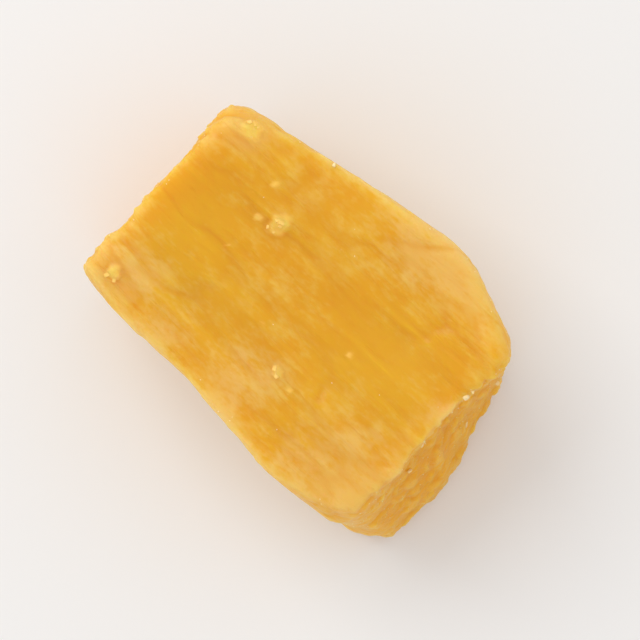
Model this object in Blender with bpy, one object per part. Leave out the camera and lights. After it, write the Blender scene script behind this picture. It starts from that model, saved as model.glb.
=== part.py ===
"""A dried pineapple chunk: one block diced from a ring of fruit, candied and dried.

The fibres run along X, fanning out a little towards the wide end at +X.
The block rests on its foot at z = 0, with the origin under the middle of its box.
Drying has pulled the middle of every cut face in, so each face is dished inside a raised rim.
"""

from math import cos, exp, pi, sin

import bmesh
import bpy
from mathutils import Vector, noise

MM = 0.001

# The cut block's top face before its edges were rounded: the (x, y) of its corners by end and side,
# where end 0 is the widest place, between the narrow end and the end that is cut off aslant
TOP_OUTLINE = {
    (-1, -1): (-6.40 * MM, -3.70 * MM),
    (-1, 1): (-6.45 * MM, 3.95 * MM),
    (0, -1): (3.00 * MM, -4.75 * MM),
    (0, 1): (2.50 * MM, 5.50 * MM),
    (1, -1): (5.90 * MM, -4.35 * MM),
    (1, 1): (6.10 * MM, 3.85 * MM),
}
WIDEST_PLACE = 0.48
KINK_ROUNDING = 0.12

# The size that the rounding and the fibres are measured against
LENGTH = 12.3 * MM
WIDTH = 8.8 * MM
HEIGHT = 7.6 * MM

# The knife cuts aren't square: how far each foot corner stands off its top corner, as (x, y),
# and how much higher or lower than HEIGHT each top corner is
FOOT_LEAN = {
    (-1, -1): (0.35 * MM, 0.30 * MM),
    (-1, 1): (0.55 * MM, -0.25 * MM),
    (0, -1): (1.00 * MM, 0.30 * MM),
    (0, 1): (0.50 * MM, -0.75 * MM),
    (1, -1): (1.50 * MM, 0.75 * MM),
    (1, 1): (0.40 * MM, -0.55 * MM),
}
TOP_RISE = {
    (-1, -1): -0.30 * MM,
    (-1, 1): 0.25 * MM,
    (0, -1): -0.40 * MM,
    (0, 1): 0.05 * MM,
    (1, -1): -0.45 * MM,
    (1, 1): 0.10 * MM,
}

# Facets along the fibres, and across them, where the relief is finer
SEGMENTS_ALONG = 24
SEGMENTS_ACROSS = 31
EDGE_CROWDING = 0.4

# Edges are rounded by an uneven radius, and three of the upright edges by more, as if rubbed down
EDGE_RADIUS = 0.50 * MM
EDGE_RADIUS_CHANGE = 0.35
RUBBED_DOWN = {
    (-1, 1): 0.75 * MM,
    (1, -1): 0.95 * MM,
    (1, 1): 0.35 * MM,
}
RUBBED_SPREAD = 5

# Dished faces: depth in the middle of the face at each end of each axis
DISH_DEPTH = {
    ("x", -1): 0.40 * MM,
    ("x", 1): 0.45 * MM,
    ("y", -1): 0.42 * MM,
    ("y", 1): 0.50 * MM,
    ("z", -1): 0.00 * MM,
    ("z", 1): 0.36 * MM,
}
DISH_POWER = 2.4

# Slow warp of the whole block
WARP_SIZE = 5.5 * MM
WARP_DEPTH = 0.18 * MM

# Fibre bundles: ridges along X on four faces, and bumps where the two end faces cut them
BUNDLE_WIDTH = 0.92 * MM
BUNDLE_LENGTH = 8.5 * MM
BUNDLE_RELIEF = 0.17 * MM
BUNDLE_WANDER = 0.45 * MM
FAN_OUT = 0.16
END_GRAIN_SHARE = 0.75

# Furrows where a bundle was pulled out: axis and side of the face, place across it,
# place along X, length, width and depth
FURROWS = (
    ("z", 1, -1.55 * MM, -0.6 * MM, 6.2 * MM, 0.34 * MM, 0.20 * MM),
    ("z", 1, 1.75 * MM, 2.3 * MM, 4.2 * MM, 0.30 * MM, 0.16 * MM),
    ("y", -1, 4.30 * MM, 0.8 * MM, 7.0 * MM, 0.38 * MM, 0.30 * MM),
    ("y", 1, 2.60 * MM, -1.2 * MM, 5.5 * MM, 0.40 * MM, 0.28 * MM),
)

# Bites, lips and a swelling, as place, radius and depth: pressed in where positive, drawn out
# where negative
DENTS = (
    (Vector((-6.2, 3.8, 7.9)) * MM, 1.00 * MM, 0.15 * MM),
    (Vector((5.7, 0.0, 7.6)) * MM, 1.90 * MM, 0.26 * MM),
    (Vector((6.1, 3.6, 7.5)) * MM, 1.10 * MM, -0.20 * MM),
    (Vector((6.4, 1.6, 4.2)) * MM, 1.40 * MM, 0.24 * MM),
    (Vector((7.1, -0.9, 1.6)) * MM, 2.30 * MM, -0.85 * MM),
    (Vector((-5.9, -1.4, 3.0)) * MM, 1.40 * MM, 0.28 * MM),
    (Vector((-1.5, -4.3, 7.2)) * MM, 1.00 * MM, 0.14 * MM),
)

# The share of the underside that is pressed flat by standing on it
FLAT_SHARE = 0.93

GOLD = (0.791, 0.381, 0.036, 1.0)
CHUNK_ROUGHNESS = 0.42


def clear_scene():
    for obj in list(bpy.data.objects):
        bpy.data.objects.remove(obj)


def crowded(t):
    """A grid line's place from -1 to 1, drawn towards the two ends, where the edges are rounded."""
    return (1 - EDGE_CROWDING) * t + EDGE_CROWDING * sin(pi / 2 * t)


def unit_block():
    """A cube from -1 to 1 whose faces are cut into a grid, finer across the fibres than along them."""
    bm = bmesh.new()
    bmesh.ops.create_cube(bm, size=2)
    segments = (SEGMENTS_ALONG, SEGMENTS_ACROSS, SEGMENTS_ACROSS)
    for axis, count in enumerate(segments):
        along = [e for e in bm.edges if abs(e.verts[0].co[axis] - e.verts[1].co[axis]) > 1]
        bmesh.ops.subdivide_edges(bm, edges=along, cuts=count - 1, use_grid_fill=True)
    for vert in bm.verts:
        vert.co = Vector([crowded(c) for c in vert.co])
    return bm


def corner(end, side, level):
    """A sharp corner of the cut block. End is -1, 0 at the widest place or 1; side is the sign of y."""
    x, y = TOP_OUTLINE[end, side]
    if level > 0:
        return Vector((x, y, HEIGHT + TOP_RISE[end, side]))
    lean_x, lean_y = FOOT_LEAN[end, side]
    return Vector((x + lean_x, y + lean_y, 0))


def on_long_edge(t, side, level):
    """The place on a sharp long edge: straight on either side of the widest place."""
    if t < WIDEST_PLACE:
        share = (t + 1) / (WIDEST_PLACE + 1)
        return corner(-1, side, level).lerp(corner(0, side, level), share)
    share = (t - WIDEST_PLACE) / (1 - WIDEST_PLACE)
    return corner(0, side, level).lerp(corner(1, side, level), share)


def in_block(unit):
    """Carries a point of the unit cube to the cut block, rounding the kink at the widest place."""
    point = Vector((0, 0, 0))
    reach = min(KINK_ROUNDING, 1 - abs(unit.x))
    for step in (-1, -0.5, 0, 0.5, 1):
        for side in (-1, 1):
            for level in (-1, 1):
                weight = (1 + side * unit.y) * (1 + level * unit.z) / 4
                point += on_long_edge(unit.x + reach * step, side, level) * weight / 5
    return point


def rounded(unit):
    """Rounds the cube's edges and corners to an uneven radius."""
    half = Vector((LENGTH, WIDTH, HEIGHT)) / 2
    place = Vector([c * h for c, h in zip(unit, half)])
    change = noise.noise(place / WARP_SIZE * 2 + Vector((3, 7, 1)))
    radius = EDGE_RADIUS * (1 + EDGE_RADIUS_CHANGE * change)
    for (end, side), extra in RUBBED_DOWN.items():
        nearness = (1 + end * unit.x) * (1 + side * unit.y) / 4
        radius += extra * nearness**RUBBED_SPREAD
    core = Vector([max(radius - h, min(h - radius, c)) for c, h in zip(place, half)])
    if (place - core).length > 0:
        place = core + (place - core).normalized() * radius
    return Vector([c / h for c, h in zip(place, half)])


def dish(unit):
    """How far the face that a point of the unit cube lies on has sunk there."""
    sunk = Vector((0, 0, 0))
    for axis in range(3):
        if abs(unit[axis]) < 1 - 1e-6:
            continue
        side = 1 if unit[axis] > 0 else -1
        across = [abs(unit[other]) ** DISH_POWER for other in range(3) if other != axis]
        sunk[axis] -= side * DISH_DEPTH["xyz"[axis], side] * (1 - across[0]) * (1 - across[1])
    return sunk


def bundle_relief(point):
    """Height of the fibre bundles at a point: noise drawn out along X, wandering and fanning out."""
    fan = 1 + FAN_OUT * point.x / LENGTH
    slow = point / BUNDLE_LENGTH * 2
    y = point.y / fan + BUNDLE_WANDER * noise.noise(slow)
    z = (point.z - HEIGHT / 2) / fan + BUNDLE_WANDER * noise.noise(slow + Vector((9, 4, 2)))
    stretched = Vector((point.x / BUNDLE_LENGTH, y / BUNDLE_WIDTH, z / BUNDLE_WIDTH))
    broad = noise.noise(stretched)
    fine = noise.noise(stretched * 1.9 + Vector((5, 1, 8)))
    return BUNDLE_RELIEF * (broad + 0.45 * fine)


def furrow_depth(point, unit):
    """Depth of the pulled-out bundles at a point of the face that they lie on."""
    depth = 0
    for axis, side, across, along, length, width, deepest in FURROWS:
        if unit["xyz".index(axis)] * side < 1 - 1e-6:
            continue
        off = (point.y if axis == "z" else point.z) - across
        off += 0.35 * width * sin(point.x / length * 9)
        reach = (point.x - along) / (length / 2)
        if abs(reach) < 1:
            depth += deepest * cos(reach * pi / 2) ** 0.7 * exp(-((off / width) ** 2))
    return depth


def dent_depth(point):
    return sum(
        depth * exp(-((point - centre).length_squared / radius**2))
        for centre, radius, depth in DENTS
    )


def shape(bm):
    """Turns the unit block into the dried chunk, and stands it on its foot at the origin."""
    units = {vert: vert.co.copy() for vert in bm.verts}
    for vert in bm.verts:
        vert.co = in_block(rounded(vert.co)) + dish(units[vert])
        vert.co += WARP_DEPTH * noise.noise_vector(vert.co / WARP_SIZE)
    bm.normal_update()
    normals = {vert: vert.normal.copy() for vert in bm.verts}
    for vert in bm.verts:
        normal = normals[vert]
        grain = 1 - (1 - END_GRAIN_SHARE) * abs(normal.x)
        depth = furrow_depth(vert.co, units[vert]) + dent_depth(vert.co)
        vert.co += normal * (grain * bundle_relief(vert.co) - depth)
    underside = sorted(vert.co.z for vert in bm.verts if units[vert].z < -1 + 1e-6)
    foot = underside[int(FLAT_SHARE * len(underside))]
    middle = [
        (min(vert.co[axis] for vert in bm.verts) + max(vert.co[axis] for vert in bm.verts)) / 2
        for axis in (0, 1)
    ]
    for vert in bm.verts:
        vert.co = Vector((vert.co.x - middle[0], vert.co.y - middle[1], max(0, vert.co.z - foot)))


def dried_fruit():
    material = bpy.data.materials.new("dried_pineapple")
    material.use_nodes = True
    shader = material.node_tree.nodes["Principled BSDF"]
    shader.inputs["Base Color"].default_value = GOLD
    shader.inputs["Roughness"].default_value = CHUNK_ROUGHNESS
    shader.inputs["Metallic"].default_value = 0.0
    return material


def pineapple_chunk():
    bm = unit_block()
    shape(bm)
    bmesh.ops.triangulate(bm, faces=bm.faces)
    bmesh.ops.recalc_face_normals(bm, faces=bm.faces)
    mesh = bpy.data.meshes.new("pineapple_chunk")
    bm.to_mesh(mesh)
    bm.free()
    mesh.shade_smooth()
    mesh.materials.append(dried_fruit())
    chunk = bpy.data.objects.new("pineapple_chunk", mesh)
    bpy.context.scene.collection.objects.link(chunk)
    return chunk


clear_scene()
pineapple_chunk()
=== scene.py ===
"""Dresses a dried pineapple chunk: its fruit, the sugar on it and its frayed fibres, on a pale floor."""

from math import cos, pi, radians, sin

import bpy
import numpy as np
from bpy.props import FloatProperty, FloatVectorProperty, IntProperty, PointerProperty
from mathutils import Euler, Matrix, Vector
from mathutils.bvhtree import BVHTree


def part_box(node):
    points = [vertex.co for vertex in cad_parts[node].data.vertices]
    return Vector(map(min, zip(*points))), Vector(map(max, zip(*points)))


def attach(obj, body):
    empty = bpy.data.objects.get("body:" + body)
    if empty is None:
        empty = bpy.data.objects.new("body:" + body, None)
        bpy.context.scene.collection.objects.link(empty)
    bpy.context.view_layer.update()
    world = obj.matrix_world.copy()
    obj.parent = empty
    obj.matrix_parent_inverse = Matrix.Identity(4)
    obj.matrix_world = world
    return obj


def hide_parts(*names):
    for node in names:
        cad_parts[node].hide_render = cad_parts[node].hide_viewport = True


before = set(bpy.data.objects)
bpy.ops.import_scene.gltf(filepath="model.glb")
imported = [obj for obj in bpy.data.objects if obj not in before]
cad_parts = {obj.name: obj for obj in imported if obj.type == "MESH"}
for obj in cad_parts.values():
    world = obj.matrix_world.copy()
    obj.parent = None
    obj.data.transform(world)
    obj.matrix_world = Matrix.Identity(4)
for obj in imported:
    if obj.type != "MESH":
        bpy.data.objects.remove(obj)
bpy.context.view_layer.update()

bl_info = {
    "name": "Dried Pineapple Chunk",
    "version": (1, 0, 0),
    "blender": (4, 5, 0),
    "location": "3D View > Sidebar > Pineapple",
    "description": "Builds the fruit, sugar and loose fibres of a dried pineapple chunk, and its stage",
    "category": "Object",
}

MM = 0.001
NODE = "pineapple_chunk"
LOW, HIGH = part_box(NODE)
MIDDLE = (LOW + HIGH) / 2

# The run of the fibres
FAN_OUT = 13.8  # how much wider apart they lie for each metre along X
WANDER = 0.5 * MM  # how far they wander from a straight line
WANDER_SIZE = 4.5 * MM  # over what distance
BUNDLE_LENGTH = 9 * MM
FIBRE_LENGTH = 5 * MM

# Masks of what stands out of its surroundings: how many times the skin is blurred to find it, and how far
# it stands out where the mask starts and where it is full
BAND = (700, 0.06 * MM, 0.60 * MM)
RIM = (160, 0.05 * MM, 0.32 * MM)
EDGE = (24, 0.035 * MM, 0.085 * MM)
RIDGE = (8, -0.012 * MM, 0.016 * MM)

# Masks of which way the skin faces: the part of its normal where the mask starts and where it is full
END_FACING = (0.55, 0.85)  # along X
SIDE_FACING = (0.80, 0.40)  # along Z
END_BLUR = 130  # how many times the tint of the cut ends is blurred

# Relief of the skin
RAGGED_SIZE = 0.45 * MM  # size of the rags in a bundle's outline
RAGGED_SHIFT = 0.9 * MM  # how far they reach
BUNDLE_REACH = (0.42, 0.68)  # the thinnest and the thickest bundle, in bundle widths
BUNDLE_SMOOTHNESS = 0.3
CRUMB_SIZE = 0.22 * MM
CRUMB_RELIEF = 0.012 * MM
END_CRUMB_RELIEF = 0.08 * MM  # added on the cut ends
PIT_REACH = (0.14, 0.03)  # a pit's rim and its floor, in pit spacings
PITLESS = 0.55  # roughly the share of the places that have no pit
SPECK_REACH = (0.01, 0.17)  # the smallest and the largest speck, in speck spacings
SPECK_RELIEF = 0.03 * MM
CRUST_RELIEF = 0.10 * MM
UNEVEN_SIZE = 0.35 * MM  # size of the notches in the outlines of specks and crusts
UNEVEN_SHIFT = 0.4 * MM  # how far they reach
TOP_FACE = (5 * MM, 6 * MM)  # heights between which the crusts fade in

# Patterns in the flesh
STREAK_WIDTH = 0.13 * MM
STREAK_LENGTH = 3.6 * MM
STREAK_SHARE = (0.22, 0.42)  # how strongly the streaks show on the top face and on the sides
PATCH_SIZE = 2.6 * MM  # clear patches
MOTTLE_SIZE = 0.65 * MM
CLOUD_SIZE = 2.0 * MM
BLOOM_SIZE = 3.4 * MM  # pale bloom on the sides
GRAIN_SIZE = 0.13 * MM
FROST_GRAIN = 0.10 * MM
DULL_SIZE = 0.5 * MM  # dull spots in the gloss
PORE_SIZE = 0.10 * MM
BUMP_DEPTH = 0.03 * MM  # how deep pores, streaks and frost look
BUMP_STRENGTH = 0.9
# The foot's deeper amber is painted warm shade, where the fruit meets the floor
FOOT_HEIGHT = 1.2 * MM  # how high the darker foot reaches

# The marks that the skin's tree leaves for the material, and how much frost gathers on some of them
MARKS = ("end_tint", "side", "band", "rim", "edge", "haze", "bundle", "fold", "pit", "speck", "ridge")
FROST_WEIGHTS = {"edge": 0.25, "rim": 0.36, "end_tint": 0.06, "ridge": 0.16, "haze": 0.25}

# Loose sugar
SUGAR_WEIGHTS = {"rim": 0.9, "edge": 1.2, "end": 0.7}  # how well it clings to these marks
SUGAR_ELSEWHERE = 0.03  # how well it clings anywhere
SUGAR_PATCH_SIZE = 1.6 * MM  # size of the patches that it lies in
SUGAR_START = (0.15 * MM, 0.5 * MM)  # heights between which it fades in over the floor
SKIN_AREA = 450 * MM * MM
GRAIN_SPREAD = 0.4  # how much its grains differ in size
CLOUDING_SIZE = 0.05 * MM  # size of the clouding in a crystal
CRYSTAL_SEED = 3
DUST_SEED = 11

# A crystal and a grain of dust, about a metre long, to be scaled later
CRYSTAL_SHAPE = (1.0, 0.72, 0.58)
CRYSTAL_CHAMFER = 0.09
CORNER_CUTS = ((0.8, 0.3, 0.5), (-0.6, 0.5, -0.6))  # the ways that its two cut corners face
CORNER_DEPTH = 0.42  # how far from its middle the cuts go
DUST_SHAPE = (1.1, 0.85, 0.7)

# Crystals on the crusts
CLUSTER = 0.3  # how far from a crust's middle they scatter, in its radii
LEAN = 0.3  # how far they lean, in radians
SHORTEST = 0.4  # the shortest crystal there, and loose fibre, as a share of the longest
CRUST_SEED = 29

# Loose fibres
ROOT_MARGINS = (0.8 * MM, 1.5 * MM)  # how far from foot and top they leave the rims, at least
STRAND_POINTS = 9
STRAND_HOLD = 0.93  # the share that lies on the side
STRAND_SWAY = 0.12  # how far they sway, as a share of their length
LIFT_START = 0.7  # where along them the skin lets go
STRAND_LIFT = 2.0  # how steeply they rise from there, in thicknesses
STRAND_SINK = 0.1  # how much of their thickness is sunk in the skin before that
STRAND_TAPER = 0.5
STRAND_STREAKS = {"Width": 0.05 * MM, "Length": 0.8 * MM}
STRAND_FROST_GRAIN = 0.06 * MM
STRAND_SEED = 5
ROOT_SEED = 17

# Paler tones that dried sugar takes
CLOUDED_SUGAR = (1.0, 0.95, 0.80)
STREAK_TONE = (0.94, 0.62, 0.16)
FROSTED_STRAND = (0.94, 0.70, 0.30)

# Stage
KEY_WIDTH = 160 * MM
KEY_DISTANCE = 260 * MM
KEY_TURN = radians(135)  # from the picture's right towards its upper left
KEY_HEIGHT = radians(48)
FILL_COLOUR = (1.0, 0.99, 0.98)
FLOOR_WIDTH = 900 * MM
FLOOR_GAP = 0.01 * MM  # how far the floor lies below the foot
LENS = 250  # in mm

# Soft spots on the top face, as place, radius and strength: pale where positive, clear where negative
HAZE_SPOTS = (
    ((-3.0 * MM, 2.6 * MM, 7.5 * MM), 1.7 * MM, 0.15),
    ((-1.5 * MM, -0.3 * MM, 7.3 * MM), 1.3 * MM, 0.20),
    ((-4.9 * MM, -2.7 * MM, 7.2 * MM), 1.1 * MM, 0.35),
    ((-3.3 * MM, -3.5 * MM, 7.2 * MM), 1.8 * MM, 0.40),
    ((-0.5 * MM, -2.9 * MM, 7.2 * MM), 2.0 * MM, 0.65),
    ((2.0 * MM, -3.5 * MM, 7.2 * MM), 1.3 * MM, 0.40),
    ((1.2 * MM, 4.2 * MM, 7.5 * MM), 3.0 * MM, 0.75),
    ((-5.6 * MM, -3.2 * MM, 7.4 * MM), 1.6 * MM, 0.60),
    ((-5.8 * MM, 2.8 * MM, 7.6 * MM), 1.0 * MM, 0.60),
    ((3.9 * MM, -3.0 * MM, 7.1 * MM), 3.0 * MM, 0.60),
    ((4.9 * MM, 0.4 * MM, 7.1 * MM), 0.9 * MM, 0.50),
    ((-4.3 * MM, -0.4 * MM, 7.4 * MM), 1.9 * MM, -0.50),
    ((1.7 * MM, 0.8 * MM, 7.3 * MM), 3.0 * MM, -0.50),
    ((4.7 * MM, 2.3 * MM, 7.3 * MM), 1.8 * MM, -0.50),
    ((1.1 * MM, -1.6 * MM, 7.3 * MM), 0.8 * MM, -0.70),
    ((-6.1 * MM, 0.1 * MM, 7.3 * MM), 2.0 * MM, -0.75),
)

# Crusts of candied sugar on the top face, as place, radius and number of crystals standing on it; their
# bright golden colour is partly a painted highlight on spots that would glint
CRUSTS = (
    ((-3.04 * MM, 1.35 * MM, 0), 0.46 * MM, 7),
    ((-5.72 * MM, 2.95 * MM, 0), 0.42 * MM, 5),
    ((-5.85 * MM, -3.45 * MM, 0), 0.32 * MM, 2),
    ((0.15 * MM, -2.15 * MM, 0), 0.26 * MM, 2),
)


class FruitSettings(bpy.types.PropertyGroup):
    """Sizes and colours of the fruit itself"""

    voxel: FloatProperty(
        name="Skin Grid",
        description="Size of the grid on which the skin is rebuilt before it gets its relief",
        default=0.158 * MM, unit="LENGTH", precision=6,
    )
    bundle_width: FloatProperty(
        name="Bundle Width",
        description="Width of one bundle of fibres",
        default=0.56 * MM, unit="LENGTH", precision=6,
    )
    bundle_relief: FloatProperty(
        name="Bundle Relief",
        description="How far the bundles stand out where the knife cut across them",
        default=0.09 * MM, unit="LENGTH", precision=6,
    )
    fibre_width: FloatProperty(
        name="Fibre Width",
        description="Width of one fibre in a bundle",
        default=0.30 * MM, unit="LENGTH", precision=6,
    )
    fibre_relief: FloatProperty(
        name="Fibre Relief",
        description="How far one fibre stands out of its bundle",
        default=0.032 * MM, unit="LENGTH", precision=6,
    )
    wrinkle_size: FloatProperty(
        name="Wrinkle Size",
        description="Size of the soft waves that drying left in the skin",
        default=1.5 * MM, unit="LENGTH", precision=6,
    )
    wrinkle_relief: FloatProperty(
        name="Wrinkle Relief",
        description="Depth of the soft waves that drying left in the skin",
        default=0.16 * MM, unit="LENGTH", precision=6,
    )
    fold_depth: FloatProperty(
        name="Fold Depth",
        description="Depth of the narrow folds that drying left in the skin",
        default=0.05 * MM, unit="LENGTH", precision=6,
    )
    speck_spacing: FloatProperty(
        name="Speck Spacing",
        description="Distance between the specks of sugar in the skin",
        default=1.15 * MM, unit="LENGTH", precision=6,
    )
    pit_spacing: FloatProperty(
        name="Pit Spacing",
        description="Distance between the pits where fibres were pulled out",
        default=2.2 * MM, unit="LENGTH", precision=6,
    )
    pit_depth: FloatProperty(
        name="Pit Depth",
        description="Depth of the pits where fibres were pulled out",
        default=0.10 * MM, unit="LENGTH", precision=6,
    )
    # Deep also darkens the folds, the gaps between bundles and the pits: painted shade in those hollows
    deep_colour: FloatVectorProperty(
        name="Deep", description="Colour of the thickest and clearest flesh",
        subtype="COLOR", size=3, min=0, max=1, default=(0.79, 0.385, 0.001),
    )
    core_colour: FloatVectorProperty(
        name="Core", description="Colour of the clear flesh in the middle of a face",
        subtype="COLOR", size=3, min=0, max=1, default=(0.80, 0.425, 0.004),
    )
    haze_colour: FloatVectorProperty(
        name="Haze", description="Colour of the pale spots, where drying has clouded the flesh",
        subtype="COLOR", size=3, min=0, max=1, default=(0.835, 0.513, 0.108),
    )
    veil_colour: FloatVectorProperty(
        name="Veil", description="Colour of the thinner clouds and of the fibres in the clear flesh",
        subtype="COLOR", size=3, min=0, max=1, default=(0.830, 0.510, 0.064),
    )
    frost_colour: FloatVectorProperty(
        name="Frost", description="Colour of the dried, sugared rims",
        subtype="COLOR", size=3, min=0, max=1, default=(0.88, 0.51, 0.16),
    )
    # Amber: partly the deeper tone of the flesh, partly painted shade and warm bounce light, laid on the
    # sides, the cut ends and the foot
    amber_and_shade_colour: FloatVectorProperty(
        name="Amber", description="Colour of the deeper flesh in the sides, the foot and the cut ends",
        subtype="COLOR", size=3, min=0, max=1, default=(0.90, 0.37, 0.002),
    )
    # Fibre Tips: on the cut ends its deep orange is partly painted shade and warm bounce light
    tip_colour: FloatVectorProperty(
        name="Fibre Tips", description="Colour of the cut tips of the fibres, and of frost on the ends",
        subtype="COLOR", size=3, min=0, max=1, default=(0.93, 0.44, 0.045),
    )
    # Dried Syrup: real specks and crusts of syrup, and on the crusts partly a painted highlight
    syrup_and_glint_colour: FloatVectorProperty(
        name="Dried Syrup", description="Colour of the specks and crusts of dried syrup in the skin",
        subtype="COLOR", size=3, min=0, max=1, default=(1.0, 0.615, 0.105),
    )
    glow_depth: FloatProperty(
        name="Glow Depth",
        description="How far light travels through the flesh",
        default=1.2 * MM, unit="LENGTH", precision=6,
    )


class SugarSettings(bpy.types.PropertyGroup):
    """Sizes and colours of the sugar on the fruit"""

    crystal_size: FloatProperty(
        name="Crystal Size", description="Length of a large sugar crystal",
        default=0.19 * MM, unit="LENGTH", precision=6,
    )
    crystal_count: IntProperty(
        name="Crystals", description="Roughly how many large crystals cling to the fruit",
        default=110, min=0,
    )
    dust_size: FloatProperty(
        name="Dust Size", description="Width of a grain of sugar dust",
        default=0.055 * MM, unit="LENGTH", precision=6,
    )
    dust_count: IntProperty(
        name="Dust Grains", description="Roughly how many grains of dust cling to the fruit",
        default=3000, min=0,
    )
    colour: FloatVectorProperty(
        name="Sugar", description="Colour of the sugar crystals and dust",
        subtype="COLOR", size=3, min=0, max=1, default=(0.97, 0.72, 0.32),
    )
    candied_colour: FloatVectorProperty(
        name="Candied Sugar", description="Colour of the crystals on the crusts of candied sugar",
        subtype="COLOR", size=3, min=0, max=1, default=(1.0, 0.62, 0.12),
    )


class StrandSettings(bpy.types.PropertyGroup):
    """Sizes and colour of the loose fibres"""

    count: IntProperty(
        name="Loose Fibres", description="How many loose fibres lie along the cut edges",
        default=6, min=0,
    )
    length: FloatProperty(
        name="Length", description="Length of the longest loose fibre",
        default=0.9 * MM, unit="LENGTH", precision=6,
    )
    thickness: FloatProperty(
        name="Thickness", description="Thickness of a loose fibre",
        default=0.05 * MM, unit="LENGTH", precision=6,
    )
    colour: FloatVectorProperty(
        name="Loose Fibre", description="Colour of the loose fibres",
        subtype="COLOR", size=3, min=0, max=1, default=(0.92, 0.56, 0.09),
    )


class StageSettings(bpy.types.PropertyGroup):
    """Floor, light and camera"""

    floor_colour: FloatVectorProperty(
        name="Floor", description="Colour of the floor",
        subtype="COLOR", size=3, min=0, max=1, default=(0.88, 0.875, 0.87),
    )
    turn: FloatProperty(
        name="Turn", description="How far the fibres slope down to the right in the picture",
        default=radians(43), subtype="ANGLE",
    )
    view_width: FloatProperty(
        name="View Width", description="Width of floor that the camera takes in",
        default=20.5 * MM, unit="LENGTH", precision=6,
    )
    key_power: FloatProperty(
        name="Key Light", description="Power of the soft light from the upper left, in watts",
        default=0.215, min=0,
    )
    fill_strength: FloatProperty(
        name="Fill", description="Strength of the even light from all round",
        default=0.81, min=0,
    )


def shown(sockets, name):
    """The socket of this name, among those that the node's data type shows."""
    return next(socket for socket in sockets if socket.enabled and socket.name == name)


def colour(value):
    """A colour as four numbers, or the socket that it comes from."""
    return value if isinstance(value, bpy.types.NodeSocket) else (*value, 1.0)


class Wires:
    """Short ways to add nodes to a tree and to wire them. An input is a number, a vector or a socket."""

    def __init__(self, tree):
        self.tree = tree

    def node(self, kind, inputs=None, **settings):
        """Adds a node. Its inputs are named, or numbered where several share a name."""
        node = self.tree.nodes.new(kind)
        for name, value in settings.items():
            setattr(node, name, value)
        for name, value in (inputs or {}).items():
            socket = node.inputs[name] if isinstance(name, int) else shown(node.inputs, name)
            if isinstance(value, bpy.types.NodeSocket):
                self.tree.links.new(value, socket)
            else:
                socket.default_value = value
        return node

    def math(self, operation, *values):
        inputs = dict(enumerate(values))
        return self.node("ShaderNodeMath", inputs, operation=operation).outputs[0]

    def vector(self, operation, *values):
        inputs = dict(enumerate(values))
        node = self.node("ShaderNodeVectorMath", inputs, operation=operation)
        return next(socket for socket in node.outputs if socket.enabled)

    def scaled(self, vector, length):
        return self.node(
            "ShaderNodeVectorMath", {"Vector": vector, "Scale": length}, operation="SCALE"
        ).outputs["Vector"]

    def part(self, vector, axis):
        return self.node("ShaderNodeSeparateXYZ", {"Vector": vector}).outputs[axis]

    def fade(self, value, low, high, start=0.0, end=1.0):
        """Start where value is at low, end where it is at high, and smooth between."""
        inputs = {"Value": value, "From Min": low, "From Max": high, "To Min": start, "To Max": end}
        kind = "ShaderNodeMapRange"
        return self.node(kind, inputs, interpolation_type="SMOOTHSTEP").outputs["Result"]

    def noise(self, place, scale, detail=2.0, output="Fac"):
        inputs = {"Vector": place, "Scale": scale, "Detail": detail}
        return self.node("ShaderNodeTexNoise", inputs).outputs[output]

    def centred(self, value):
        """A value between 0 and 1, lowered so that it swings about 0."""
        return self.math("SUBTRACT", value, 0.5)

    def total(self, terms, start=0.0):
        """Adds values, each times its own weight, to what it starts from."""
        for value, weight in terms:
            start = self.math("MULTIPLY_ADD", value, weight, start)
        return start

    def drawn_out(self, place, share):
        """A place with X cut down to a share, which draws a pattern out along the fibres."""
        return self.vector("MULTIPLY", place, (share, 1, 1))

    def creases(self, place, scale, detail=1.0):
        """Rounded tops with sharp creases between them, from 0 in a crease to about 1 on a top."""
        swing = self.centred(self.noise(place, scale, detail))
        return self.math("MULTIPLY", self.math("ABSOLUTE", swing), 4.0)

    def cells(self, place, scale, smoothness=None):
        """How far a place is from the nearest of many scattered points, and that point's own colour."""
        inputs = {"Vector": place, "Scale": scale}
        settings = {}
        if smoothness is not None:
            inputs["Smoothness"] = smoothness
            settings["feature"] = "SMOOTH_F1"
        node = self.node("ShaderNodeTexVoronoi", inputs, **settings)
        return node.outputs["Distance"], node.outputs["Color"]

    def mix(self, share, first, second):
        inputs = {"Factor": share, "A": colour(first), "B": colour(second)}
        return shown(self.node("ShaderNodeMix", inputs, data_type="RGBA").outputs, "Result")

    def attribute(self, name):
        return self.node("ShaderNodeAttribute", attribute_name=name).outputs["Fac"]

    def group(self, tree, inputs):
        return self.node("ShaderNodeGroup", inputs, node_tree=tree).outputs


def along_fibres(wires, place, length, width):
    """A place measured in the lengths and widths of fibres, which fan out and wander along X."""
    drift = wires.noise(place, 1 / WANDER_SIZE, 1.0, "Color")
    drift = wires.vector("SUBTRACT", drift, (0.5, 0.5, 0.5))
    drift = wires.vector("MULTIPLY", drift, (0, WANDER, WANDER))
    centred = wires.vector("SUBTRACT", wires.vector("ADD", place, drift), (0, 0, MIDDLE.z))
    spread = wires.math("MULTIPLY_ADD", wires.part(centred, "X"), FAN_OUT, 1.0)
    across = [
        wires.math("DIVIDE", wires.math("DIVIDE", wires.part(centred, axis), spread), width)
        for axis in "YZ"
    ]
    lengthwise = wires.math("DIVIDE", wires.part(centred, "X"), length)
    inputs = {"X": lengthwise, "Y": across[0], "Z": across[1]}
    return wires.node("ShaderNodeCombineXYZ", inputs).outputs["Vector"]


def select_only(piece):
    bpy.ops.object.select_all(action="DESELECT")
    piece.select_set(True)
    bpy.context.view_layer.objects.active = piece


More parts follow.
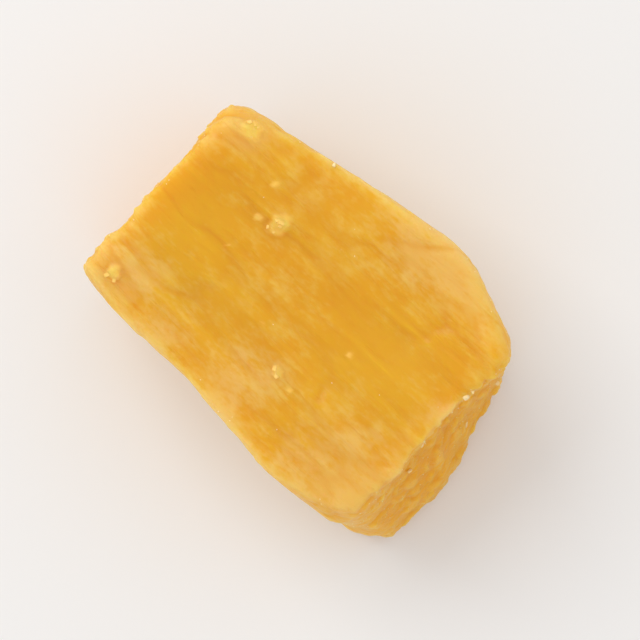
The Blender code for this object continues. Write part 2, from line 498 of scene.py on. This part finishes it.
def apply_modifier(piece, kind, **settings):
    """Adds a modifier to a piece and applies it at once."""
    modifier = piece.modifiers.new(kind.title(), kind)
    for name, value in settings.items():
        setattr(modifier, name, value)
    select_only(piece)
    bpy.ops.object.modifier_apply(modifier=modifier.name)


def copy_of(source, name):
    """A new object with its own copy of another's mesh."""
    piece = bpy.data.objects.new(name, source.data.copy())
    bpy.context.scene.collection.objects.link(piece)
    return piece


def geometry_tree(name):
    tree = bpy.data.node_groups.new(name, "GeometryNodeTree")
    for way in ("INPUT", "OUTPUT"):
        tree.interface.new_socket("Geometry", in_out=way, socket_type="NodeSocketGeometry")
    return tree


def blurred(wires, value, steps, data_type):
    """A value that is shared out between neighbouring points of the mesh, this many times."""
    inputs = {"Value": value, "Iterations": steps}
    blur = wires.node("GeometryNodeBlurAttribute", inputs, data_type=data_type)
    return shown(blur.outputs, "Value")


def standing_out(wires, blur_steps, low, high):
    """A mask of what stands out of its own surroundings: 0 where by low, 1 where by high."""
    place = wires.node("GeometryNodeInputPosition").outputs[0]
    normal = wires.node("GeometryNodeInputNormal").outputs[0]
    away = wires.vector("SUBTRACT", place, blurred(wires, place, blur_steps, "FLOAT_VECTOR"))
    return wires.fade(wires.vector("DOT_PRODUCT", away, normal), low, high)


def stored(wires, geometry, name, value):
    """Keeps a value on the mesh's points, under a name that a material can read."""
    inputs = {"Geometry": geometry, "Name": name, "Value": value}
    kind = "GeometryNodeStoreNamedAttribute"
    return wires.node(kind, inputs, data_type="FLOAT", domain="POINT").outputs["Geometry"]


def haze_spots(wires, place):
    """The pale and the clear spots of the top face, added up."""
    return wires.total(
        (wires.fade(wires.vector("DISTANCE", place, centre), radius, 0.0), strength)
        for centre, radius, strength in HAZE_SPOTS
    )


def fibre_bundles(wires, place, width):
    """1 in the middle of each bundle of fibres, and 0 between them."""
    ragged = wires.noise(wires.drawn_out(place, 0.15), 1 / RAGGED_SIZE, output="Color")
    ragged = wires.vector("MULTIPLY_ADD", ragged, (0, RAGGED_SHIFT, RAGGED_SHIFT), place)
    space = along_fibres(wires, ragged, BUNDLE_LENGTH, width)
    away, own_colour = wires.cells(space, 1.0, BUNDLE_SMOOTHNESS)
    reach = wires.fade(wires.part(own_colour, "X"), 0.2, 0.8, *BUNDLE_REACH)
    return wires.fade(wires.math("DIVIDE", away, reach), 1.0, 0.15)


def syrup_specks(wires, place, spacing):
    """1 in the middle of each speck of dried syrup, and 0 between them. Half of the places have none."""
    away, own_colour = wires.cells(place, 1 / spacing)
    reach = wires.fade(wires.part(own_colour, "Y"), 0.5, 1.0, *SPECK_REACH)
    return wires.fade(wires.math("DIVIDE", away, reach), 1.0, 0.3)


def fibre_pits(wires, place, spacing):
    """1 in each pit where a fibre was pulled out, and 0 between them."""
    away, own_colour = wires.cells(wires.drawn_out(place, 0.45), 1 / spacing)
    chosen = wires.math("GREATER_THAN", own_colour, PITLESS)
    return wires.math("MULTIPLY", wires.fade(away, *PIT_REACH), chosen)


def crust_mask(wires, place):
    """1 in the middle of each crust on the top face, and 0 outside them all."""
    level = wires.vector("MULTIPLY", place, (1, 1, 0))
    mask = 0.0
    for centre, radius, _ in CRUSTS:
        away = wires.vector("DISTANCE", level, centre)
        mask = wires.math("MAXIMUM", wires.fade(away, radius, 0.45 * radius), mask)
    return wires.math("MULTIPLY", mask, wires.fade(wires.part(place, "Z"), *TOP_FACE))


def skin_tree(fruit):
    """Carves bundles, fibres, wrinkles and pits into the fruit, and notes where each of them lies."""
    tree = geometry_tree("Fruit Skin")
    wires = Wires(tree)
    entry = wires.node("NodeGroupInput").outputs["Geometry"]
    place = wires.node("GeometryNodeInputPosition").outputs[0]
    normal = wires.node("GeometryNodeInputNormal").outputs[0]
    end = wires.fade(wires.math("ABSOLUTE", wires.part(normal, "X")), *END_FACING)
    side = wires.fade(wires.math("ABSOLUTE", wires.part(normal, "Z")), *SIDE_FACING)
    edge = standing_out(wires, *EDGE)

    bundles = fibre_bundles(wires, place, fruit.bundle_width)
    fibres = wires.creases(along_fibres(wires, place, FIBRE_LENGTH, fruit.fibre_width), 1.0)
    lengthened = wires.drawn_out(place, 0.5)
    waves = wires.noise(lengthened, 1 / fruit.wrinkle_size)
    folds = wires.fade(wires.creases(lengthened, 0.6 / fruit.wrinkle_size, 2.0), 0.22, 0.0)
    pits = fibre_pits(wires, place, fruit.pit_spacing)
    crumb = wires.noise(place, 1 / CRUMB_SIZE)
    uneven = wires.noise(place, 1 / UNEVEN_SIZE, output="Color")
    uneven = wires.vector("SUBTRACT", uneven, (0.5, 0.5, 0.5))
    uneven = wires.vector("MULTIPLY_ADD", uneven, (UNEVEN_SHIFT,) * 3, place)
    specks = syrup_specks(wires, uneven, fruit.speck_spacing)
    crusts = crust_mask(wires, uneven)

    cut_across = wires.fade(end, 0.0, 1.0, 0.50, 1.0)
    cut_across = wires.math("MULTIPLY", cut_across, wires.fade(edge, 0.0, 1.0, 1.0, 0.35))
    bundle_height = wires.math("MULTIPLY", wires.centred(bundles), cut_across)
    crumb_height = wires.math("MULTIPLY_ADD", end, END_CRUMB_RELIEF, CRUMB_RELIEF)
    crust_height = wires.math("MULTIPLY", crusts, wires.math("MULTIPLY_ADD", crumb, 1.6, 0.2))
    relief = wires.total((
        (bundle_height, fruit.bundle_relief),
        (wires.centred(fibres), fruit.fibre_relief),
        (wires.centred(waves), fruit.wrinkle_relief),
        (folds, -fruit.fold_depth),
        (wires.centred(crumb), crumb_height),
        (pits, -fruit.pit_depth),
        (specks, SPECK_RELIEF),
        (crust_height, CRUST_RELIEF),
    ))

    shape = entry
    for name, value in (
        ("end", end),
        ("end_tint", blurred(wires, end, END_BLUR, "FLOAT")),
        ("side", side),
        ("band", standing_out(wires, *BAND)),
        ("rim", standing_out(wires, *RIM)),
        ("edge", edge),
        ("haze", haze_spots(wires, place)),
        ("bundle", bundles),
        ("fold", folds),
        ("pit", pits),
        ("speck", wires.math("MAXIMUM", specks, crusts)),
    ):
        shape = stored(wires, shape, name, value)
    moved = {"Geometry": shape, "Offset": wires.scaled(normal, relief)}
    shape = wires.node("GeometryNodeSetPosition", moved).outputs["Geometry"]
    shape = stored(wires, shape, "ridge", standing_out(wires, *RIDGE))
    wires.node("NodeGroupOutput", {"Geometry": shape})
    return tree


def press_foot(piece):
    """Flattens what would lie below the floor, as the fruit's own weight does."""
    select_only(piece)
    bpy.ops.object.mode_set(mode="EDIT")
    bpy.ops.mesh.select_all(action="DESELECT")
    bpy.ops.object.mode_set(mode="OBJECT")
    places = np.empty(len(piece.data.vertices) * 3, np.float32)
    piece.data.vertices.foreach_get("co", places)
    below = places[2::3] < LOW.z
    piece.data.vertices.foreach_set("select", below)
    bpy.ops.object.mode_set(mode="EDIT")
    bpy.ops.transform.resize(value=(1, 1, 0), center_override=(0, 0, LOW.z))
    bpy.ops.object.mode_set(mode="OBJECT")


def shader_group(name, inputs, outputs):
    """An empty shader group, and the wires and ends to fill it with."""
    group = bpy.data.node_groups.new(name, "ShaderNodeTree")
    for socket, kind in inputs.items():
        group.interface.new_socket(socket, in_out="INPUT", socket_type="NodeSocket" + kind)
    for socket, kind in outputs.items():
        group.interface.new_socket(socket, in_out="OUTPUT", socket_type="NodeSocket" + kind)
    wires = Wires(group)
    return group, wires, wires.node("NodeGroupInput").outputs


def fibre_streaks_group():
    """Fine pale lines along the fibres, from 0 between them to 1 on them."""
    name = "Fibre Streaks"
    if name in bpy.data.node_groups:
        return bpy.data.node_groups[name]
    inputs = {"Position": "Vector", "Width": "Float", "Length": "Float"}
    group, wires, given = shader_group(name, inputs, {"Streaks": "Float"})
    space = along_fibres(wires, given["Position"], given["Length"], given["Width"])
    fine = wires.noise(space, 1.0, 3.0)
    broad = wires.noise(space, 0.31, 1.0)
    streaks = wires.math("MULTIPLY", wires.fade(fine, 0.42, 0.66), wires.fade(broad, 0.30, 0.62))
    wires.node("NodeGroupOutput", {"Streaks": streaks})
    return group


def sugar_frost_group():
    """Dried sugar, which gathers where Amount is high: its mask and the height of its fine grains."""
    name = "Sugar Frost"
    if name in bpy.data.node_groups:
        return bpy.data.node_groups[name]
    inputs = {"Position": "Vector", "Amount": "Float", "Grain": "Float"}
    group, wires, given = shader_group(name, inputs, {"Frost": "Float", "Height": "Float"})
    fineness = wires.math("DIVIDE", 1.0, given["Grain"])
    grains = wires.noise(given["Position"], fineness, 2.0)
    patches = wires.noise(given["Position"], wires.math("MULTIPLY", fineness, 0.07), 4.0)
    reach = wires.math("ADD", given["Amount"], wires.centred(patches))
    reach = wires.math("MULTIPLY_ADD", wires.centred(grains), 0.6, reach)
    frost = wires.fade(reach, 0.20, 0.90)
    height = wires.math("MULTIPLY", frost, grains)
    wires.node("NodeGroupOutput", {"Frost": frost, "Height": height})
    return group


def shaded(material_name):
    """A new material's wires and its Principled shader."""
    material = bpy.data.materials.new(material_name)
    material.use_nodes = True
    return material, Wires(material.node_tree), material.node_tree.nodes["Principled BSDF"]


def plug(wires, shader, **sockets):
    for name, value in sockets.items():
        wires.tree.links.new(value, shader.inputs[name.replace("_", " ")])


def cloudiness(wires, place, marks, streaks, grain):
    """How clouded the flesh is, from 0 in its clearest spots to 1 in its palest."""
    side = marks["side"]
    mottle = wires.centred(wires.noise(place, 1 / MOTTLE_SIZE, 3.0))
    clouds = wires.centred(wires.noise(wires.drawn_out(place, 0.7), 1 / CLOUD_SIZE))
    bloom = wires.fade(wires.noise(place, 1 / BLOOM_SIZE, 3.0), 0.44, 0.64)
    cloudy = wires.total(
        (
            (mottle, 2.1),
            (clouds, 1.0),
            (marks["band"], 0.60),
            (wires.math("MULTIPLY", bloom, side), 0.55),
            (streaks, wires.fade(side, 0.0, 1.0, *STREAK_SHARE)),
            (grain, 1.5),
        ),
        start=marks["haze"],
    )
    return wires.fade(cloudy, -0.25, 1.0)


def flesh_colour(wires, place, marks, streaks, frost, fruit):
    """Layers the colours of the flesh, from clear patches at the bottom to dried syrup at the top, with
    painted shade and highlights among them.
    """
    side, end, bundle = marks["side"], marks["end_tint"], marks["bundle"]
    grain = wires.centred(wires.noise(wires.drawn_out(place, 0.45), 1 / GRAIN_SIZE))
    patches = wires.fade(wires.noise(place, 1 / PATCH_SIZE, 3.0), 0.36, 0.66)
    cloudy = cloudiness(wires, place, marks, streaks, grain)
    pale = wires.fade(wires.math("MULTIPLY_ADD", marks["band"], 0.35, marks["haze"]), 0.0, 0.5)
    cloud_tint = wires.mix(pale, fruit.veil_colour, fruit.haze_colour)
    # Folds, gaps between bundles on the sides, and pits get darker: painted shade in the hollows
    gaps = wires.math("MULTIPLY", wires.fade(bundle, 0.7, 0.0), side)
    groove_shade = wires.total(((marks["fold"], 0.35), (gaps, 0.30)))
    tips = wires.fade(wires.math("MULTIPLY_ADD", grain, 1.2, bundle), 0.2, 1.1)
    # Cut ends: pale fibre tips over a deep orange that is painted shade and warm bounce light; the frost
    # on the ends takes the same painted shade
    tips_and_end_shade = wires.mix(tips, fruit.amber_and_shade_colour, fruit.tip_colour)
    frost_and_end_shade = wires.mix(wires.math("MULTIPLY", end, 0.7), fruit.frost_colour, fruit.tip_colour)
    # Deeper amber towards the foot: painted warm shade where the fruit meets the floor
    foot = wires.fade(wires.part(place, "Z"), FOOT_HEIGHT, 0.0)
    flesh = wires.mix(patches, fruit.deep_colour, fruit.core_colour)
    for mask, strength, tint in (
        (cloudy, 1.0, cloud_tint),
        # sides: partly their deeper tone, partly painted warm bounce light
        (side, 0.30, fruit.amber_and_shade_colour),
        # folds, gaps and pits: painted shade
        (groove_shade, 1.0, fruit.deep_colour),
        (marks["pit"], 0.5, fruit.deep_colour),
        # cut ends: painted shade and warm bounce light over the real fibre tips
        (end, 0.48, tips_and_end_shade),
        (frost, 0.8, frost_and_end_shade),
        # specks and crusts of syrup, the crusts' brightness partly a painted highlight
        (marks["speck"], 0.95, fruit.syrup_and_glint_colour),
        # foot: painted warm shade
        (foot, 0.35, fruit.amber_and_shade_colour),
    ):
        flesh = wires.mix(wires.math("MULTIPLY", mask, strength), flesh, tint)
    return flesh


def fruit_material(fruit):
    """Clear golden flesh with paler fibres in it, frosted on rims and cut ends."""
    material, wires, shader = shaded("dried_pineapple_flesh")
    place = wires.node("ShaderNodeTexCoord").outputs["Object"]
    marks = {name: wires.attribute(name) for name in MARKS}
    inputs = {"Position": place, "Width": STREAK_WIDTH, "Length": STREAK_LENGTH}
    streaks = wires.group(fibre_streaks_group(), inputs)["Streaks"]
    amount = wires.total((marks[name], weight) for name, weight in FROST_WEIGHTS.items())
    inputs = {"Position": place, "Amount": amount, "Grain": FROST_GRAIN}
    frosting = wires.group(sugar_frost_group(), inputs)
    frost = frosting["Frost"]

    dull = wires.noise(place, 1 / DULL_SIZE)
    roughness = wires.total(((dull, 0.20), (frost, 0.22)), start=0.30)
    pores = wires.noise(place, 1 / PORE_SIZE, 3.0)
    height = wires.total(((streaks, 0.7), (pores, 0.5)), start=frosting["Height"])
    inputs = {"Height": height, "Strength": BUMP_STRENGTH, "Distance": BUMP_DEPTH}
    bump = wires.node("ShaderNodeBump", inputs).outputs["Normal"]
    dryness = wires.math("MULTIPLY_ADD", marks["end_tint"], 0.4, frost)
    syrup = wires.fade(dryness, 0.5, 0.0, 0.0, 0.20)
    flesh = flesh_colour(wires, place, marks, streaks, frost, fruit)
    plug(wires, shader, Base_Color=flesh, Roughness=roughness, Coat_Weight=syrup, Normal=bump)
    shader.inputs["Coat Roughness"].default_value = 0.2
    shader.inputs["IOR"].default_value = 1.36
    shader.inputs["Subsurface Weight"].default_value = 1.0
    shader.inputs["Subsurface Radius"].default_value = (0.8, 1.0, 1.0)
    shader.inputs["Subsurface Scale"].default_value = fruit.glow_depth
    return material


def sugar_material(name, clear, clouding):
    """Sugar of one colour, clouded and paler in patches."""
    material, wires, shader = shaded(name)
    place = wires.node("ShaderNodeTexCoord").outputs["Object"]
    inputs = {"Position": place, "Amount": 0.5, "Grain": CLOUDING_SIZE}
    frosting = wires.group(sugar_frost_group(), inputs)
    clouded = Vector(clear).lerp(Vector(CLOUDED_SUGAR), clouding)
    tint = wires.mix(frosting["Frost"], clear, clouded)
    roughness = wires.math("MULTIPLY_ADD", frosting["Frost"], 0.25, 0.15)
    plug(wires, shader, Base_Color=tint, Roughness=roughness)
    shader.inputs["IOR"].default_value = 1.5
    return material


def strand_material(strands):
    """Thin dry fibres with a dusting of sugar."""
    material, wires, shader = shaded("loose_fibre")
    place = wires.node("ShaderNodeTexCoord").outputs["Object"]
    inputs = {"Position": place, **STRAND_STREAKS}
    streaks = wires.group(fibre_streaks_group(), inputs)["Streaks"]
    inputs = {"Position": place, "Amount": 0.35, "Grain": STRAND_FROST_GRAIN}
    frost = wires.group(sugar_frost_group(), inputs)["Frost"]
    tint = wires.mix(streaks, strands.colour, STREAK_TONE)
    tint = wires.mix(wires.math("MULTIPLY", frost, 0.5), tint, FROSTED_STRAND)
    roughness = wires.math("MULTIPLY_ADD", frost, 0.3, 0.35)
    plug(wires, shader, Base_Color=tint, Roughness=roughness)
    return material


def set_material(piece, material):
    piece.data.materials.clear()
    piece.data.materials.append(material)


def hand_over(piece):
    """Makes a finished piece ride with the fruit."""
    bpy.ops.object.select_all(action="DESELECT")
    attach(piece, "root")


class PINEAPPLE_OT_fruit(bpy.types.Operator):
    """Rebuild the fruit's skin on a fine grid and carve its fibres, wrinkles and pits"""

    bl_idname = "pineapple.fruit"
    bl_label = "Build Fruit"

    def execute(self, context):
        fruit = context.scene.pineapple_fruit
        piece = copy_of(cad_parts[NODE], "fruit")
        select_only(piece)
        bpy.ops.object.mode_set(mode="EDIT")
        bpy.ops.mesh.select_all(action="SELECT")
        bpy.ops.mesh.remove_doubles(threshold=0.001 * MM)
        bpy.ops.object.mode_set(mode="OBJECT")
        apply_modifier(piece, "REMESH", mode="VOXEL", voxel_size=fruit.voxel)
        apply_modifier(piece, "SMOOTH", factor=0.5, iterations=6)
        apply_modifier(piece, "SUBSURF", levels=1, render_levels=1)
        apply_modifier(piece, "NODES", node_group=skin_tree(fruit))
        press_foot(piece)
        bpy.ops.object.shade_smooth()
        set_material(piece, fruit_material(fruit))
        hand_over(piece)
        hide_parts(NODE)
        return {"FINISHED"}


def mark_on_points(wires, name):
    """A mark that the skin's tree left on the points of the fruit."""
    inputs = {"Name": name}
    node = wires.node("GeometryNodeInputNamedAttribute", inputs, data_type="FLOAT")
    return shown(node.outputs, "Attribute")


def random_vector(wires, low, high, seed):
    """Three random numbers between low and high, drawn anew for each point."""
    inputs = {"Min": (low,) * 3, "Max": (high,) * 3, "Seed": seed}
    node = wires.node("FunctionNodeRandomValue", inputs, data_type="FLOAT_VECTOR")
    return shown(node.outputs, "Value")


def sugar_tree(name, grain, count, size, seed):
    """Scatters copies of one grain over the fruit, thickest on its rims and ends, and keeps only them."""
    tree = geometry_tree(name)
    wires = Wires(tree)
    entry = wires.node("NodeGroupInput").outputs["Geometry"]
    place = wires.node("GeometryNodeInputPosition").outputs[0]
    liking = wires.total(
        ((mark_on_points(wires, key), weight) for key, weight in SUGAR_WEIGHTS.items()),
        start=SUGAR_ELSEWHERE,
    )
    patches = wires.fade(wires.noise(place, 1 / SUGAR_PATCH_SIZE), 0.40, 0.62)
    above_floor = wires.fade(wires.part(place, "Z"), *SUGAR_START)
    liking = wires.math("MULTIPLY", wires.math("MULTIPLY", liking, patches), above_floor)
    density = wires.math("MULTIPLY", liking, count / SKIN_AREA)
    inputs = {"Mesh": entry, "Density": density, "Seed": seed}
    kind = "GeometryNodeDistributePointsOnFaces"
    points = wires.node(kind, inputs, distribute_method="RANDOM").outputs["Points"]
    source = wires.node("GeometryNodeObjectInfo", {"Object": grain}).outputs["Geometry"]
    turn = random_vector(wires, 0, 2 * pi, seed + 1)
    scale = random_vector(wires, size * (1 - GRAIN_SPREAD), size * (1 + GRAIN_SPREAD), seed + 2)
    inputs = {"Points": points, "Instance": source, "Rotation": turn, "Scale": scale}
    instances = wires.node("GeometryNodeInstanceOnPoints", inputs).outputs["Instances"]
    real = wires.node("GeometryNodeRealizeInstances", {"Geometry": instances}).outputs["Geometry"]
    wires.node("NodeGroupOutput", {"Geometry": real})
    return tree


def model_crystal():
    """One crystal, ready to be scaled: a block with chamfered edges and two corners cut off aslant."""
    bpy.ops.object.select_all(action="DESELECT")
    bpy.ops.mesh.primitive_cube_add(size=1)
    crystal = bpy.context.object
    bpy.ops.object.mode_set(mode="EDIT")
    bpy.ops.mesh.select_all(action="SELECT")
    bpy.ops.transform.resize(value=CRYSTAL_SHAPE, center_override=(0, 0, 0))
    bpy.ops.mesh.bevel(offset=CRYSTAL_CHAMFER, segments=1)
    for way in CORNER_CUTS:
        bpy.ops.mesh.select_all(action="SELECT")
        corner = Vector(way) * CORNER_DEPTH
        bpy.ops.mesh.bisect(plane_co=corner, plane_no=way, use_fill=True, clear_outer=True)
    bpy.ops.object.mode_set(mode="OBJECT")
    return crystal


def model_dust_grain():
    """One rough grain with a flat side, ready to be scaled."""
    bpy.ops.object.select_all(action="DESELECT")
    bpy.ops.mesh.primitive_ico_sphere_add(subdivisions=1, radius=0.5)
    grain = bpy.context.object
    bpy.ops.object.mode_set(mode="EDIT")
    bpy.ops.mesh.select_all(action="SELECT")
    bpy.ops.transform.resize(value=DUST_SHAPE, center_override=(0, 0, 0))
    bpy.ops.mesh.bisect(
        plane_co=(0, 0, 0.2), plane_no=(0.4, 0.2, 1), use_fill=True, clear_outer=True
    )
    bpy.ops.object.mode_set(mode="OBJECT")
    return grain


def scatter(name, grain, material, count, size, seed):
    """Makes one piece of all the copies of a grain that cling to the fruit."""
    set_material(grain, material)
    piece = copy_of(bpy.data.objects["fruit"], name)
    apply_modifier(piece, "NODES", node_group=sugar_tree(name, grain, count, size, seed))
    bpy.data.objects.remove(grain)
    set_material(piece, material)
    hand_over(piece)


def skin_finder():
    """Finds points on the finished fruit."""
    return BVHTree.FromObject(bpy.data.objects["fruit"], bpy.context.evaluated_depsgraph_get())


def set_crystals(longest):
    """Sinks a few crystals into each crust and joins them all into one piece."""
    skin = skin_finder()
    draw = np.random.default_rng(CRUST_SEED)
    crystals = []
    for centre, radius, count in CRUSTS:
        for _ in range(count):
            x, y = draw.normal(centre[:2], CLUSTER * radius)
            on_skin, _, _, _ = skin.ray_cast(Vector((x, y, 2 * HIGH.z)), Vector((0, 0, -1)))
            turn = Euler((*draw.uniform(-LEAN, LEAN, 2), draw.uniform(0, 2 * pi)))
            length = Matrix.Scale(longest * draw.uniform(SHORTEST, 1.0), 4)
            crystal = model_crystal()
            crystal.matrix_world = Matrix.Translation(on_skin) @ turn.to_matrix().to_4x4() @ length
            crystals.append(crystal)
    for crystal in crystals:
        crystal.select_set(True)
    bpy.ops.object.join()
    bpy.ops.object.transform_apply(location=True, rotation=True, scale=True)
    piece = bpy.context.object
    piece.name = "crust_crystals"
    return piece


class PINEAPPLE_OT_sugar(bpy.types.Operator):
    """Scatter sugar crystals and finer dust over the fruit, and set crystals on its sugar crusts"""

    bl_idname = "pineapple.sugar"
    bl_label = "Scatter Sugar"

    def execute(self, context):
        sugar = context.scene.pineapple_sugar
        crystal, dust = model_crystal(), model_dust_grain()
        material = sugar_material("sugar", sugar.colour, 0.25)
        scatter(
            "sugar_crystals", crystal, material, sugar.crystal_count, sugar.crystal_size, CRYSTAL_SEED
        )
        scatter("sugar_dust", dust, material, sugar.dust_count, sugar.dust_size, DUST_SEED)
        piece = set_crystals(sugar.crystal_size)
        set_material(piece, sugar_material("candied_sugar", sugar.candied_colour, 0.10))
        hand_over(piece)
        return {"FINISHED"}


def strand_roots(count):
    """Places where loose fibres leave the upright rims of the fruit's two cut ends."""
    mesh = bpy.data.objects["fruit"].data
    places = np.empty(len(mesh.vertices) * 3, np.float32)
    rim = np.empty(len(mesh.vertices), np.float32)
    mesh.vertices.foreach_get("co", places)
    mesh.attributes["rim"].data.foreach_get("value", rim)
    places = places.reshape(-1, 3)
    near_end = np.abs(places[:, 0] - MIDDLE.x) > 0.40 * (HIGH.x - LOW.x)
    above_foot, below_top = ROOT_MARGINS
    upright = (places[:, 2] > above_foot) & (places[:, 2] < HIGH.z - below_top)
    fit = np.flatnonzero((rim > 0.7) & upright & near_end)
    draw = np.random.default_rng(ROOT_SEED)
    return [Vector(places[i]) for i in draw.choice(fit, count, replace=False)]


class PINEAPPLE_OT_strands(bpy.types.Operator):
    """Lay a few loose fibres along the skin, with their tips standing off the cut ends"""

    bl_idname = "pineapple.strands"
    bl_label = "Lay Loose Fibres"

    def execute(self, context):
        strands = context.scene.pineapple_strands
        skin = skin_finder()
        draw = np.random.default_rng(STRAND_SEED)
        curve = bpy.data.curves.new("loose_fibres", "CURVE")
        curve.dimensions = "3D"
        curve.bevel_depth = strands.thickness / 2
        curve.bevel_resolution = 1
        curve.resolution_u = 3
        curve.use_fill_caps = True
        for root in strand_roots(strands.count):
            length = strands.length * draw.uniform(SHORTEST, 1.0)
            outward = Vector((1 if root.x > MIDDLE.x else -1, 0, 0))
            sway = Vector((0, *draw.uniform(-STRAND_SWAY, STRAND_SWAY, 2))) * length
            spline = curve.splines.new("NURBS")
            spline.points.add(STRAND_POINTS - 1)
            for step, point in enumerate(spline.points):
                share = step / (STRAND_POINTS - 1)
                place = root + outward * length * (share - STRAND_HOLD) + sway * (1 - share) ** 2
                on_skin, normal, _, _ = skin.find_nearest(place)
                lift = strands.thickness * (STRAND_LIFT * max(0, share - LIFT_START) - STRAND_SINK)
                point.co = (*(on_skin + normal * lift), 1)
                point.radius = 1.0 - STRAND_TAPER * share
            spline.use_endpoint_u = True
            spline.order_u = 4
        piece = bpy.data.objects.new("loose_fibres", curve)
        context.scene.collection.objects.link(piece)
        select_only(piece)
        bpy.ops.object.convert(target="MESH")
        piece = context.object
        bpy.ops.object.shade_smooth()
        set_material(piece, strand_material(strands))
        hand_over(piece)
        return {"FINISHED"}


def add_floor(stage):
    """Lays the floor a hair below the foot, so that the two don't share a plane."""
    bpy.ops.object.select_all(action="DESELECT")
    bpy.ops.mesh.primitive_plane_add(size=FLOOR_WIDTH, location=(0, 0, LOW.z - FLOOR_GAP))
    floor = bpy.context.object
    floor.name = "floor"
    material, _, shader = shaded("pale_floor")
    shader.inputs["Base Color"].default_value = (*stage.floor_colour, 1)
    shader.inputs["Roughness"].default_value = 0.6
    set_material(floor, material)


def add_key_light(stage):
    """A square soft light from the picture's upper left, facing the chunk."""
    data = bpy.data.lights.new("key_light", "AREA")
    data.energy = stage.key_power
    data.size = KEY_WIDTH
    light = bpy.data.objects.new("key_light", data)
    azimuth = stage.turn + KEY_TURN
    level = cos(KEY_HEIGHT)
    towards = Vector((cos(azimuth) * level, sin(azimuth) * level, sin(KEY_HEIGHT)))
    light.location = MIDDLE + towards * KEY_DISTANCE
    light.rotation_euler = towards.to_track_quat("Z", "Y").to_euler()
    bpy.context.scene.collection.objects.link(light)


def add_fill(stage):
    """An even pale light from all round."""
    world = bpy.data.worlds.new("studio")
    world.use_nodes = True
    background = world.node_tree.nodes["Background"]
    background.inputs["Color"].default_value = (*FILL_COLOUR, 1)
    background.inputs["Strength"].default_value = stage.fill_strength
    bpy.context.scene.world = world


def add_camera(stage):
    """Looks straight down, with the fibres sloping down to the right."""
    data = bpy.data.cameras.new("camera")
    data.lens = LENS
    camera = bpy.data.objects.new("camera", data)
    distance = stage.view_width * data.lens / data.sensor_width
    camera.location = (MIDDLE.x, MIDDLE.y, HIGH.z + distance)
    camera.rotation_euler = (0, 0, stage.turn)
    data.clip_start = distance * 0.1
    data.clip_end = distance * 20
    bpy.context.scene.collection.objects.link(camera)
    bpy.context.scene.camera = camera


class PINEAPPLE_OT_stage(bpy.types.Operator):
    """Add the pale floor, the soft lights and the camera"""

    bl_idname = "pineapple.stage"
    bl_label = "Set Stage"

    def execute(self, context):
        stage = context.scene.pineapple_stage
        add_floor(stage)
        add_key_light(stage)
        add_fill(stage)
        add_camera(stage)
        context.scene.view_settings.view_transform = "Standard"
        return {"FINISHED"}


class PINEAPPLE_PT_panel(bpy.types.Panel):
    """Lists the chunk's pieces and their settings"""

    bl_idname = "PINEAPPLE_PT_panel"
    bl_label = "Dried Pineapple Chunk"
    bl_space_type = "VIEW_3D"
    bl_region_type = "UI"
    bl_category = "Pineapple"

    def draw(self, context):
        for settings_name, operator in PARTS:
            box = self.layout.box()
            box.operator(operator.bl_idname)
            settings = getattr(context.scene, settings_name)
            for name in settings.__annotations__:
                box.prop(settings, name)


PARTS = (
    ("pineapple_fruit", PINEAPPLE_OT_fruit),
    ("pineapple_sugar", PINEAPPLE_OT_sugar),
    ("pineapple_strands", PINEAPPLE_OT_strands),
    ("pineapple_stage", PINEAPPLE_OT_stage),
)
SETTINGS = {
    "pineapple_fruit": FruitSettings,
    "pineapple_sugar": SugarSettings,
    "pineapple_strands": StrandSettings,
    "pineapple_stage": StageSettings,
}
CLASSES = (*SETTINGS.values(), *(operator for _, operator in PARTS), PINEAPPLE_PT_panel)


def register():
    for cls in CLASSES:
        bpy.utils.register_class(cls)
    for name, settings in SETTINGS.items():
        setattr(bpy.types.Scene, name, PointerProperty(type=settings))


def unregister():
    for name in SETTINGS:
        delattr(bpy.types.Scene, name)
    for cls in reversed(CLASSES):
        bpy.utils.unregister_class(cls)


def main():
    register()
    bpy.ops.pineapple.fruit()
    bpy.ops.pineapple.sugar()
    bpy.ops.pineapple.strands()
    bpy.ops.pineapple.stage()


if __name__ == "__main__":
    main()
